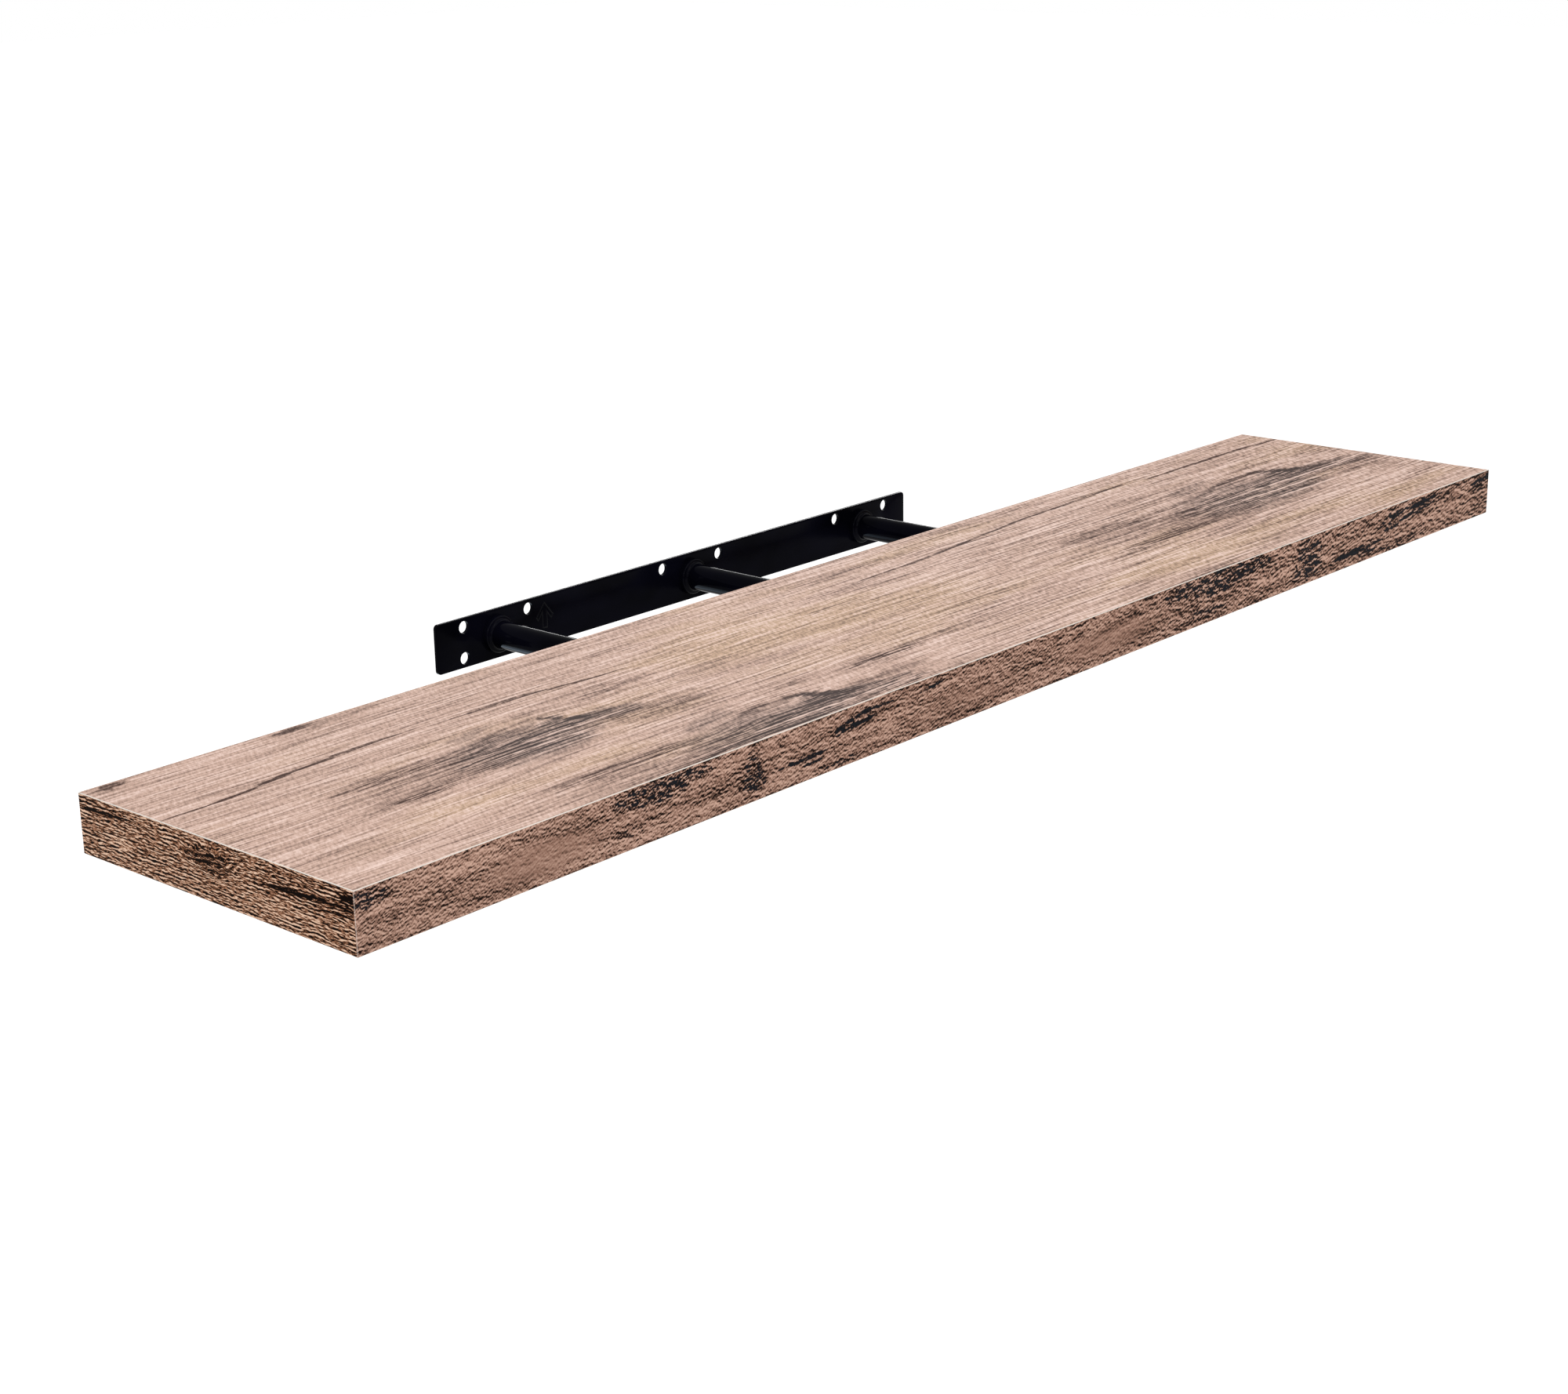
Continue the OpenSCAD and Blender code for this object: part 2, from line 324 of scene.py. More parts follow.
def edge_band(corner, along, outwards, thickness, half_height, run, ease):
    """Band along a straight line: a section with two rounded outer edges, carried along it.

    Near both ends the section's reach follows a quarter circle, so the ends are eased too.
    """
    turn = quarter(0)
    rise, fall = ease * (1 - np.cos(turn)), ease * (1 - np.sin(turn))
    first = np.concatenate([rise, run - rise[::-1]])
    reach = thickness - np.concatenate([fall, fall[::-1]])
    out = np.concatenate([[0], -fall, -fall[::-1], [0]])
    height = 2 * half_height
    up = np.concatenate([[0], rise, height - rise[::-1], [height]]) - half_height
    from_face = np.concatenate([[0], np.ones(2 * len(turn)), [0]])
    depth = from_face[None] * reach[:, None] + out[None]
    points = (
        np.array(corner)
        + first[:, None, None] * np.array(along)
        + depth[..., None] * np.array(outwards)
        + up[None, :, None] * np.array([0, 0, 1.0])
    )
    rows, columns = len(first), len(out)
    faces = [tuple(q) for q in grid_quads(rows, columns, False, True)]
    faces += [tuple(range(columns)), tuple(range((rows - 1) * columns, rows * columns))]
    return points.reshape(-1, 3), faces


# Materials


class Nodes:
    """Node tree that grows call by call: each call adds a node, joins it up and gives back its output."""

    def __init__(self, tree):
        self.tree = tree

    def add(self, kind, **settings):
        node = self.tree.nodes.new(kind)
        for key, value in settings.items():
            setattr(node, key, value)
        return node

    def feed(self, socket, value):
        """Joins a socket to a node's output, or sets it to a constant."""
        if isinstance(value, bpy.types.NodeSocket):
            self.tree.links.new(value, socket)
        else:
            socket.default_value = value

    def fed(self, kind, values, **settings):
        """Adds a node and feeds its sockets, in order or, from a dictionary, by name or number."""
        node = self.add(kind, **settings)
        pairs = values.items() if isinstance(values, dict) else enumerate(values)
        for key, value in pairs:
            self.feed(node.inputs[key], value)
        return node

    def math(self, operation, *values):
        return self.fed("ShaderNodeMath", values, operation=operation).outputs[0]

    def plus(self, a, b):
        return self.math("ADD", a, b)

    def minus(self, a, b):
        return self.math("SUBTRACT", a, b)

    def times(self, a, b, start=None):
        """One value times another, added to a start where one is given."""
        return self.math("MULTIPLY", a, b) if start is None else self.math("MULTIPLY_ADD", a, b, start)

    def vector(self, operation, *values, result="Vector"):
        return self.fed("ShaderNodeVectorMath", values, operation=operation).outputs[result]

    def parts(self, vector):
        return self.fed("ShaderNodeSeparateXYZ", [vector]).outputs

    def joined(self, x, y, z=0.0):
        return self.fed("ShaderNodeCombineXYZ", (x, y, z)).outputs[0]

    def step(self, value, low, high, to_low=0.0, to_high=1.0):
        """Smooth step from one value to another as the input goes from low to high."""
        ends = {"Value": value, "From Min": low, "From Max": high, "To Min": to_low, "To Max": to_high}
        return self.fed("ShaderNodeMapRange", ends, interpolation_type="SMOOTHSTEP").outputs[0]

    def noise(self, at, size, shift, detail=2.0, roughness=0.5, distortion=0.0):
        """Noise whose features are about size long each way. A size of two parts makes it flat."""
        kind = {2: "2D", 3: "3D"}[len(size)]
        scale = (*(1 / s for s in size), 1.0)[:3]
        away = (shift, shift * 1.7, shift * 0.6)
        values = {
            "Vector": self.vector("MULTIPLY_ADD", at, scale, away),
            "Scale": 1.0, "Detail": detail, "Roughness": roughness, "Distortion": distortion,
        }
        return self.fed("ShaderNodeTexNoise", values, noise_dimensions=kind).outputs[0]

    def relief(self, at, size, shift, lit, detail=2.0, roughness=0.6):
        """Noise lit from one side, so that each mark has a dark and a pale edge.

        It is the noise's value plus a half, minus its value a short way on towards the light.
        """
        here = self.noise(at, size, shift, detail, roughness)
        there = self.noise(self.vector("ADD", at, (*lit, 0.0)), size, shift, detail, roughness)
        return self.minus(self.plus(here, 0.5), there)

    def mix(self, share, a, b):
        """Colour on the way from the first to the second. The numbers are the colour sockets' places."""
        return self.fed("ShaderNodeMix", {0: share, 6: a, 7: b}, data_type="RGBA").outputs[2]

    def ramp(self, value, stops):
        """Colour that runs through stops of (place, colour)."""
        node = self.add("ShaderNodeValToRGB")
        band = node.color_ramp
        while len(band.elements) < len(stops):
            band.elements.new(0.5)
        for element, (at, given) in zip(band.elements, stops):
            element.position = at
            element.color = opaque(given)
        self.feed(node.inputs[0], value)
        return node.outputs[0]

    def curve(self, share, points, handle="AUTO_CLAMPED"):
        """Value that runs through points of (share, value), both from 0 to 1."""
        node = self.add("ShaderNodeFloatCurve")
        line = node.mapping.curves[0]
        while len(line.points) < len(points):
            line.points.new(0.5, 0.5)
        for point, (at, value) in zip(line.points, points):
            point.location = (at, value)
            point.handle_type = handle
        node.mapping.update()
        self.feed(node.inputs["Value"], share)
        return node.outputs[0]

    def spot(self, at, centre, half, tilt=0.0):
        """1 in the core of an ellipse, falling smoothly to 0 at its edge."""
        edge, core = 1.0, 0.4
        turn = (0.0, 0.0, math.radians(tilt))
        ellipse = {"Vector": at, "Location": (*centre, 0.0), "Rotation": turn, "Scale": (*half, 1.0)}
        own = self.fed("ShaderNodeMapping", ellipse, vector_type="TEXTURE").outputs[0]
        return self.step(self.vector("LENGTH", own, result="Value"), edge, core)

    def spots(self, at, rows):
        """Sum of ellipses given as (centre, half sizes, tilt, strength)."""
        total = 0.0
        for centre, half, tilt, strength in rows:
            total = self.times(self.spot(at, centre, half, tilt), strength, total)
        return total


class Finish(Nodes):
    """One procedural material."""

    def __init__(self, name, roughness, specular):
        self.material = bpy.data.materials.new(name)
        self.material.use_nodes = True
        super().__init__(self.material.node_tree)
        self.tree.nodes.clear()
        self.shader = self.add("ShaderNodeBsdfPrincipled")
        self.shader.inputs["Specular IOR Level"].default_value = specular
        self.shader.inputs["Roughness"].default_value = roughness
        output = self.add("ShaderNodeOutputMaterial")
        self.tree.links.new(self.shader.outputs[0], output.inputs["Surface"])
        self.place = self.add("ShaderNodeTexCoord").outputs["Object"]

    def bump(self, height, strength, distance):
        values = {"Strength": strength, "Distance": distance, "Height": height}
        self.feed(self.shader.inputs["Normal"], self.fed("ShaderNodeBump", values).outputs[0])

    def paint(self, value):
        self.feed(self.shader.inputs["Base Color"], value)
        return self.material


def on_board(finish, face):
    """Place on a face in millimetres, from the board's middle along X and Z and from its front along Y."""
    start = {"X": 0.0, "Y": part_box("front_edge_band")[0].y, "Z": 0.0}
    axes = dict(zip("XYZ", finish.parts(finish.place)))
    names = {"top": "XY", "front": "XZ", "end": "YZ"}[face]
    flat = [finish.times(axes[name], 1 / MM, -start[name] / MM) for name in names]
    return finish.joined(*flat), flat


def growing(finish, along, across, change, middle):
    """Place drawn in by a share that falls along the board, so that marks grow towards its right end."""
    share = finish.times(along, -change / HALF_LENGTH, middle)
    return finish.joined(finish.times(along, share), finish.times(across, share))


class Strokes:
    """Lines along a face, each given by points of (along, across, half width), in millimetres."""

    WIDEST = 10.0

    def __init__(self, finish, along, across, span_along, span_across, ragged):
        self.finish, self.across, self.ragged = finish, across, ragged
        self.start, self.reach = span_along
        self.low, self.height = span_across
        self.share = finish.times(along, 1 / self.reach, -self.start / self.reach)

    def mask(self, points, soft):
        """1 inside the line, falling to 0 over the soft width: half width minus distance to its middle."""
        middle = [((a - self.start) / self.reach, (b - self.low) / self.height) for a, b, _ in points]
        widths = [((a - self.start) / self.reach, w / self.WIDEST) for a, _, w in points]
        f = self.finish
        centre = f.times(f.curve(self.share, middle), self.height, self.low)
        half = f.times(f.curve(self.share, widths, "VECTOR"), self.WIDEST)
        half = f.times(half, self.ragged)
        distance = f.math("ABSOLUTE", f.minus(self.across, centre))
        return f.step(f.minus(half, distance), 0.0, soft)


# Stretches that the lines are drawn over, as start and reach in millimetres
HALF_LENGTH = round(CAD_BOX[1][0] / MM, 1)
HALF_THICK = round(CAD_BOX[1][2] / MM, 1)
ALONG_BOARD = (-HALF_LENGTH, 2 * HALF_LENGTH)
ACROSS_BOARD = (0.0, 240.0)
UP_BOARD = (-HALF_THICK, 2 * HALF_THICK)

# Depth of the prints' pressed grain
GRAIN_DEPTH = 0.12 * MM

# A knot of the top print, from the top of its arc: smoky ellipses, brown ones, and lines, in millimetres
KNOT_SMOKE = (
    ((-26, -31), (66, 40), 0, 1.0),
    ((-8, -36), (44, 24), 0, 0.4),
    ((20, -13), (19, 13), -45, 1.0),
    ((40, -25), (46, 14), -12, 0.9),
    ((-36, 6), (26, 8), 15, 0.6),
)
KNOT_BROWN = (
    ((-105, -13), (66, 10), 0, 1.15),
    ((-122, -52), (44, 6), 0, 1.2),
    ((-88, -36), (92, 24), 0, 0.8),
    ((74, -42), (74, 18), -6, 0.9),
    ((84, 6), (44, 12), 0, 0.8),
    ((20, 11), (34, 4), 0, 0.7),
)
KNOT_DARK = (
    (-60, -9, 0.0), (-43, -6, 1.6), (-22, -3.5, 2.5), (-13, -1.2, 3.0), (0, 0, 2.5), (12, -1.5, 3.2),
    (20, -9, 4.4), (27, -16, 4.6), (38, -21, 3.2), (56, -22.5, 2.2), (82, -20, 0.0),
)
KNOT_PALE = (
    ((-120, -28.5, 0.0), (-60, -29, 0.7), (0, -29, 1.0), (24, -30, 1.0), (60, -30, 0.8), (84, -29, 0.0)),
    ((-100, -38.5, 0.0), (-40, -38.5, 0.9), (0, -39.5, 1.1), (30, -40, 0.9), (66, -43, 0.0)),
    ((-70, -49, 0.0), (-20, -50, 0.9), (12, -50.5, 1.1), (40, -52, 0.8), (72, -58, 0.0)),
)
KNOT_HEART = (((8, -9), (10, 4), 25, 1.0), ((38, -12), (14, 5), -25, 0.5), ((62, -11), (8, 5), 30, 0.8))

# The knots: top of the arc along and across, and the stretch both ways
KNOTS = (((-362, 133), (1.0, 1.0)), ((-237, 44), (1.32, 1.12)), ((455, 148), (1.8, 1.25)))

# Lines of the top print. Marks that are far apart share a line, which has no width between them
TOP_CRACKS = (
    (-600, 160, 0.8), (-562, 161, 1.2), (-540, 163, 1.4), (-520, 167, 1.5), (-490, 170.5, 1.5),
    (-462, 173, 1.5), (-430, 174, 1.3), (-404, 174.5, 0.5), (-398, 171, 0.5), (-375, 171.5, 1.2),
    (-345, 172, 1.5), (-318, 171.5, 1.4), (-300, 168.5, 1.3), (-262, 164.5, 1.0), (-232, 164, 0.0),
    (-10, 180, 0.0), (12, 182, 0.8), (60, 184, 1.1), (98, 186, 1.4), (130, 190, 1.5),
    (170, 194, 1.4), (205, 198, 1.2), (225, 200, 1.5), (260, 202, 1.4), (320, 204, 1.5),
    (370, 206.5, 0.9), (384, 206, 0.0), (392, 202, 0.0), (410, 202, 1.3), (470, 203, 1.7),
    (530, 204, 1.6), (600, 200.5, 1.2),
)
TOP_TICKS = (
    ((-600, 197, 0.5), (-560, 197, 0.8), (-538, 197, 0.0), (-450, 181, 0.0), (-425, 182, 0.9),
     (-385, 182, 0.0), (-200, 104, 0.0), (-182, 104, 0.9), (-165, 104.5, 0.0), (-118, 149.5, 0.0),
     (-104, 150, 1.0), (-88, 150.5, 0.0), (-14, 168.5, 0.0), (2, 169, 0.9), (22, 170, 0.0),
     (165, 131, 0.0), (190, 131, 1.1), (240, 133, 0.6), (268, 134, 0.0), (345, 216, 0.0),
     (375, 217, 0.8), (410, 217, 0.0)),
    ((-475, 229, 0.0), (-462, 230, 3.0), (-445, 231, 2.4), (-428, 231, 0.0), (-160, 73, 0.0),
     (-132, 80, 0.8), (-112, 73.5, 1.0), (-95, 74, 0.0), (150, 74, 0.0), (180, 75, 1.2), (225, 75, 1.2),
     (250, 73, 0.0)),
    ((-596, 229, 0.0), (-588, 229, 3.2), (-578, 230, 3.0), (-570, 230, 0.0), (-470, 120, 0.0),
     (-120, 60, 0.0), (200, 125, 0.0), (215, 125.5, 1.2), (240, 126, 0.0)),
)
# Brown stains and tan areas of the top print, as ellipses
TOP_STAIN = (
    ((-88, 54), (78, 9), 2, 0.75),
    ((-300, 150), (40, 9), 0, 0.35),
    ((-440, 228), (60, 8), 0, 0.6),
    ((-586, 228), (26, 9), 0, 0.6),
    ((290, 76), (120, 22), 0, 0.35),
    ((-150, 26), (66, 18), 0, 0.6),
    ((-130, 118), (130, 30), 0, 0.3),
)
TOP_TAN = (
    ((-60, 125), (240, 95), 0, 1.2),
    ((280, 26), (420, 38), 0, 1.0),
    ((-520, 40), (100, 50), 0, 0.5),
    ((300, 215), (300, 25), 0, 0.3),
)


def knot_rows(rows, knot):
    """Ellipses of a knot moved to its place and stretched with it."""
    (x, v), (wide, deep) = knot
    return [
        ((x + c[0] * wide, v + c[1] * deep), (h[0] * wide, h[1] * deep), tilt * deep / wide, strength)
        for c, h, tilt, strength in rows
    ]


def knot_line(points, knot):
    """Points of a knot's line moved to its place and stretched with it."""
    (x, v), (wide, deep) = knot
    return [(x + a * wide, v + b * deep, w * deep) for a, b, w in points]


def tone(finish, layers):
    """Sum of noises about one half: each layer is (noise, share)."""
    total = 0.5
    for noise, share in layers:
        total = finish.times(finish.minus(noise, 0.5), share, total)
    return total


def leaning(finish, at, degrees):
    """Place turned back by an angle, so that marks long in its first part lean by that angle."""
    turn = {"Vector": at, "Rotation": (0.0, 0.0, -math.radians(degrees))}
    return finish.fed("ShaderNodeMapping", turn, vector_type="POINT").outputs[0]


def blend(first, second, share):
    """Colour on the way from the first to the second."""
    return tuple(a + (b - a) * share for a, b in zip(first, second))


def depths(finish, value, tones, stops):
    """Ramp through stops of (place, level): level -1 is the dark tone, 0 the middle and 1 the pale one."""
    dark, middle, pale = (tuple(t) for t in tones)
    return finish.ramp(value, [
        (at, blend(middle, pale if level > 0 else dark, abs(level))) for at, level in stops
    ])


def shades(finish, value, middle, stops):
    """Ramp of one colour: stops of (place, factor) times the middle colour."""
    return finish.ramp(value, [(at, tuple(min(1.0, c * k) for c in middle)) for at, k in stops])


# Levels of the prints from the darkest marks to the palest
TOP_LEVELS = ((0.0, -1.0), (0.2, -0.72), (0.5, 0.0), (0.76, 1.0))
FRONT_LEVELS = ((0.1, -1.0), (0.22, -0.8), (0.4, -0.36), (0.5, 0.0), (0.7, 0.4), (0.9, 0.8))
END_LEVELS = (
    (0.09, -1.0), (0.24, -0.87), (0.42, -0.42), (0.5, 0.0), (0.76, 0.46), (0.92, 0.9), (1.0, 1.0),
)


def top_print(colours, drawn=True):
    """Weathered wood print: long fibres, leaning flecks, and the drawn knots, cracks and stains."""
    f = Finish("Top_print" if drawn else "Underside_print", 0.6, 0.06)
    at, (u, v) = on_board(f, "top")
    drift = f.times(f.noise(at, (210, 60), 3.1, detail=1.0), 9.0, v)
    if drawn:
        for (x, y), (wide, deep) in KNOTS:
            arch = f.spot(at, (x + 2 * wide, y - 10 * deep), (60 * wide, 26 * deep))
            drift = f.times(arch, -3.5 * deep, drift)
    flow = f.joined(u, drift)

    long_fibre = f.noise(flow, (150, 3.4), 5.3, roughness=0.6)
    mid_fibre = f.relief(flow, (46, 2.4), 8.7, (0.0, 1.0))
    fleck = f.noise(leaning(f, growing(f, u, v, 0.15, 0.85), 56), (6.2, 2.1), 2.9, roughness=0.6)
    blotch = f.noise(flow, (80, 14), 7.7)
    # Flecks and long fibres stand out more towards the right end
    fleck_share = f.times(u, 0.13 / HALF_LENGTH, 0.6)
    fibre_share = f.step(u, -350.0, 150.0, 0.5, 0.85)
    grain = tone(f, ((long_fibre, fibre_share), (mid_fibre, 0.62), (fleck, fleck_share), (blotch, 0.3)))
    thread = f.noise(flow, (90, 2.2), 4.4, detail=1.0)
    value = f.minus(grain, f.step(thread, 0.62, 0.86, 0.0, 0.22))
    zone = f.noise(at, (190, 40), 1.3)
    if drawn:
        zone = f.times(f.spots(at, TOP_TAN), 0.22, zone)
        value, smoke = drawn_marks(f, at, (u, v), flow, mid_fibre, value)

    pink, tan = (depths(f, value, (colours.top_dark, middle, colours.top_pale), TOP_LEVELS)
                 for middle in (colours.top_pink, colours.top_tan))
    print_now = f.mix(f.step(zone, 0.5, 0.85), pink, tan)
    if drawn:
        grey = depths(f, value, (colours.smoke_dark, colours.smoke, colours.top_pale), TOP_LEVELS)
        print_now = f.mix(f.math("MINIMUM", f.times(smoke, 0.6), 0.75), print_now, grey)
    f.bump(grain, 0.2, GRAIN_DEPTH)
    return f.paint(print_now)


def drawn_marks(f, at, flat, flow, fibre, value):
    """The top print's tone with its smoke, stains, cracks and pale lines, and the mask of the smoke."""
    u, v = flat
    torn = f.noise(at, (22, 6), 11.5)
    shaken = f.joined(f.times(torn, 44.0, f.minus(u, 22.0)),
                      f.times(torn, 10.0, f.minus(v, 5.0)))
    streak = tone(f, ((f.noise(flow, (44, 3.0), 9.2, detail=3.0, roughness=0.65), 1.2), (fibre, 2.4)))
    smoke = f.spots(shaken, [row for knot in KNOTS for row in knot_rows(KNOT_SMOKE, knot)])
    brown = f.spots(shaken, [*TOP_STAIN, *(row for knot in KNOTS for row in knot_rows(KNOT_BROWN, knot))])
    for mask, (low, high), (least, most) in (
        (smoke, (0.32, 0.72), (0.03, 0.44)), (brown, (0.4, 0.7), (0.01, 0.42)),
    ):
        depth = f.times(mask, f.step(streak, low, high, least, most))
        value = f.minus(value, depth)

    ragged = f.step(f.noise(at, (14, 3), 13.3, detail=1.0), 0.3, 0.6, 1.0, 1.9)
    strokes = Strokes(f, u, v, ALONG_BOARD, ACROSS_BOARD, ragged)
    marks = [(TOP_CRACKS, 1.5, -0.44), *((points, 2.6, -0.32) for points in TOP_TICKS)]
    for knot in KNOTS:
        marks.append((knot_line(KNOT_DARK, knot), 6.5, -0.3))
        value = f.times(f.spots(at, knot_rows(KNOT_HEART, knot)), 0.14, value)
    for points, soft, change in marks:
        value = f.times(strokes.mask(points, soft), change, value)
    for points in (knot_line(line, knot) for knot in KNOTS for line in KNOT_PALE):
        value = f.math("MAXIMUM", value, f.times(strokes.mask(points, 1.5), 0.68))
    return value, smoke


# Black marks of the front print: rough ellipses, and lines of (along, up, half width)
FRONT_BLOTCHES = (
    ((-592, 11), (22, 8), 0, 0.8),
    ((-400, 11), (30, 7), 0, 0.8),
    ((-376, 10), (34, 10), 4, 1.1),
    ((-350, 13), (22, 5), 0, 0.9),
    ((-408, -8), (24, 5), 0, 0.5),
    ((-303, 3), (10, 15), 0, 0.8),
    ((-302, -6), (15, 8), 0, 1.1),
    ((-225, -14), (34, 3), 0, 0.6),
    ((150, 11), (36, 9), 0, 1.0),
    ((196, 9), (46, 12), 4, 1.3),
    ((240, 12), (32, 7), 0, 1.0),
    ((175, -10), (44, 7), 0, 0.6),
    ((318, 4), (24, 16), 0, 1.1),
    ((316, -8), (28, 10), 0, 1.3),
    ((438, 5), (24, 13), 20, 0.6),
    ((500, 11), (34, 7), 5, 0.4),
    ((455, -14), (60, 5), 0, 0.5),
    ((588, 8), (26, 10), 0, 0.5),
)
FRONT_LINES = (
    ((-284, -5, 0.0), (-274, -4.6, 1.3), (-258, -4, 2.0), (-244, -3.5, 1.4), (-234, -3, 0.0),
     (-233, 4, 0.0), (-229, 5, 1.5), (-221, 8, 1.8), (-208, 10.5, 1.8), (-190, 12, 1.6),
     (-176, 12, 0.8), (-168, 11, 0.0), (-152, 10, 0.0), (-145, 10.5, 1.5), (-130, 12, 1.6),
     (-122, 13, 0.0), (345, -9, 0.0), (358, -8.6, 1.6), (380, -7.5, 2.4), (400, -7, 2.2),
     (420, -6.5, 1.2), (430, -3, 0.0), (432, 1, 0.0), (437, 4, 2.0), (448, 9.5, 2.0), (480, 12, 2.2),
     (510, 12.5, 1.9), (525, 14, 0.0), (566, 10, 0.0), (575, 11, 1.8), (600, 13, 2.4)),
    ((-262, -8.5, 0.0), (-255, -8, 1.4), (-246, -8, 1.5), (-238, -7, 0.0), (-236, 2, 0.0),
     (-226, 3, 1.3), (-214, 5.5, 1.5), (-196, 7, 1.5), (-184, 8, 0.0), (385, -13, 0.0), (396, -12, 1.8),
     (412, -11.5, 1.5), (422, -10, 0.0), (430, -1, 0.0), (442, 1, 1.8), (470, 5, 1.9), (495, 7, 1.5),
     (512, 10, 0.0)),
)
FRONT_PLAIN = (
    ((-470, -3), (56, 15), 0, 1.0),
    ((60, -2), (70, 14), 0, 1.0),
    ((-110, -6), (70, 12), 0, 0.5),
)


def front_print(colours):
    """Bark-like print of the front: dark marks and pale ridges on tan, with rough black patches."""
    f = Finish("Front_print", 0.6, 0.02)
    at, (u, w) = on_board(f, "front")
    print_at = growing(f, u, w, 0.2, 0.84)
    sway = f.times(f.noise(at, (60, 14), 2.2, detail=1.0), 4.0)
    flow = f.vector("ADD", print_at, f.joined(0.0, sway))
    patches = f.math("MINIMUM", f.spots(at, FRONT_BLOTCHES), 1.2)
    crowd = f.noise(at, (70, 9), 8.1)
    marks = tone(f, ((f.relief(leaning(f, print_at, 16), (2.7, 1.4), 6.6, (0.6, 0.8), detail=1.0), 1.2),
                     (f.relief(flow, (10, 2.4), 3.7, (0.5, 1.0), detail=1.0), 0.7),
                     (f.noise(flow, (12, 3.4), 9.9), 0.6)))
    stretch = f.step(u, 60.0, 260.0)
    contrast = f.times(f.spots(at, FRONT_PLAIN), -0.6, 1.0)
    contrast = f.times(stretch, 0.2, contrast)
    contrast = f.times(patches, 0.5, contrast)
    value = f.times(f.minus(marks, 0.5), contrast, 0.5)
    value = f.times(f.minus(crowd, 0.5), 0.6, value)
    middle = f.step(f.math("ABSOLUTE", u), 320.0, 140.0)
    value = f.times(middle, -0.03, f.plus(value, 0.03))
    value = f.times(stretch, -0.03, value)

    edge = f.noise(flow, (7, 2.8), 4.2, detail=3.0, roughness=0.7)
    ink = f.times(patches, f.step(edge, 0.42, 0.6, 0.1, 0.8))
    strokes = Strokes(f, u, w, ALONG_BOARD, UP_BOARD, f.step(edge, 0.3, 0.65, 0.5, 1.6))
    for points in FRONT_LINES:
        ink = f.times(strokes.mask(points, 1.4), 0.95, ink)
    value = f.times(ink, -0.75, value)
    tones = (colours.front_dark, colours.front_middle, colours.front_pale)
    print_now = depths(f, value, tones, FRONT_LEVELS)
    covered = f.times(f.step(ink, 0.2, 0.55, 0.0, 0.95), f.step(marks, 0.44, 0.72, 1.0, 0.3))
    print_now = f.mix(covered, print_now, opaque(colours.front_black))
    f.bump(value, 0.25, GRAIN_DEPTH)
    return f.paint(painted_edge_highlight(f, print_now, colours, True))


def painted_edge_highlight(f, print_now, colours, own_ends=False):
    """Painted highlight: a pale line along the eased edges, at the board's top and underside, and fainter at
    its corners.
    """
    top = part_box("top_laminate")[1].z
    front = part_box("front_edge_band")[0].y
    _, y, z = f.parts(f.place)
    # Painted highlight along the band's top and bottom edges, and fainter down its front corners
    cut = f.step(f.math("ABSOLUTE", z), top - 0.4 * MM, top - 0.2 * MM, 0.0, 0.9)
    if own_ends:
        x = f.math("ABSOLUTE", f.parts(f.place)[0])
        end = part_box("front_edge_band")[1].x
        corner = f.times(f.step(x, end - 0.3 * MM, end - 0.1 * MM),
                        f.step(y, front + 0.35 * MM, front + 0.15 * MM, 0.0, 0.5))
        cut = f.math("MAXIMUM", cut, corner)
    return f.mix(cut, print_now, opaque(colours.edge_highlight))


# Distance between the end print's ruled lines, in millimetres
END_LINE_PITCH = 2.3
END_LINES = (
    ((0, 6, 1.0), (14, 6.5, 1.2), (28, 6.5, 1.8), (46, 5.2, 2.0), (62, 4.6, 1.7), (74, 3.8, 1.0),
     (80, 3.5, 0.0), (96, 5, 0.0), (104, 2, 0.7), (112, 0, 0.9), (122, 0.5, 0.8), (130, 3, 0.0),
     (180, 12.5, 0.0), (200, 11.5, 1.2), (225, 10.5, 1.0), (235, 10.5, 0.6)),
    ((0, 2.5, 1.0), (16, 2, 1.2), (34, 0, 0.9), (42, -1, 0.0), (96, 9, 0.0), (106, 10, 0.8),
     (118, 8.5, 1.4), (132, 7, 1.0), (146, 9, 0.0)),
    ((0, 13, 2.6), (7, 12.5, 2.4), (13, 11, 0.0), (104, 6, 0.0), (114, 5, 1.0), (124, 4, 1.3),
     (138, 3, 0.7), (146, 2, 0.0)),
)
END_SPOTS = (
    ((6, 10), (14, 7), 0, 1.5),
    ((118, 6), (28, 9), 0, 0.8),
    ((38, 4.5), (50, 5), 0, 0.4),
    ((215, 12), (40, 4), 0, 1.0),
    ((60, 13), (70, 5), 0, 0.4),
    ((60, -8), (50, 8), 0, -0.5),
    ((195, -4), (9, 6), 0, -1.2),
)


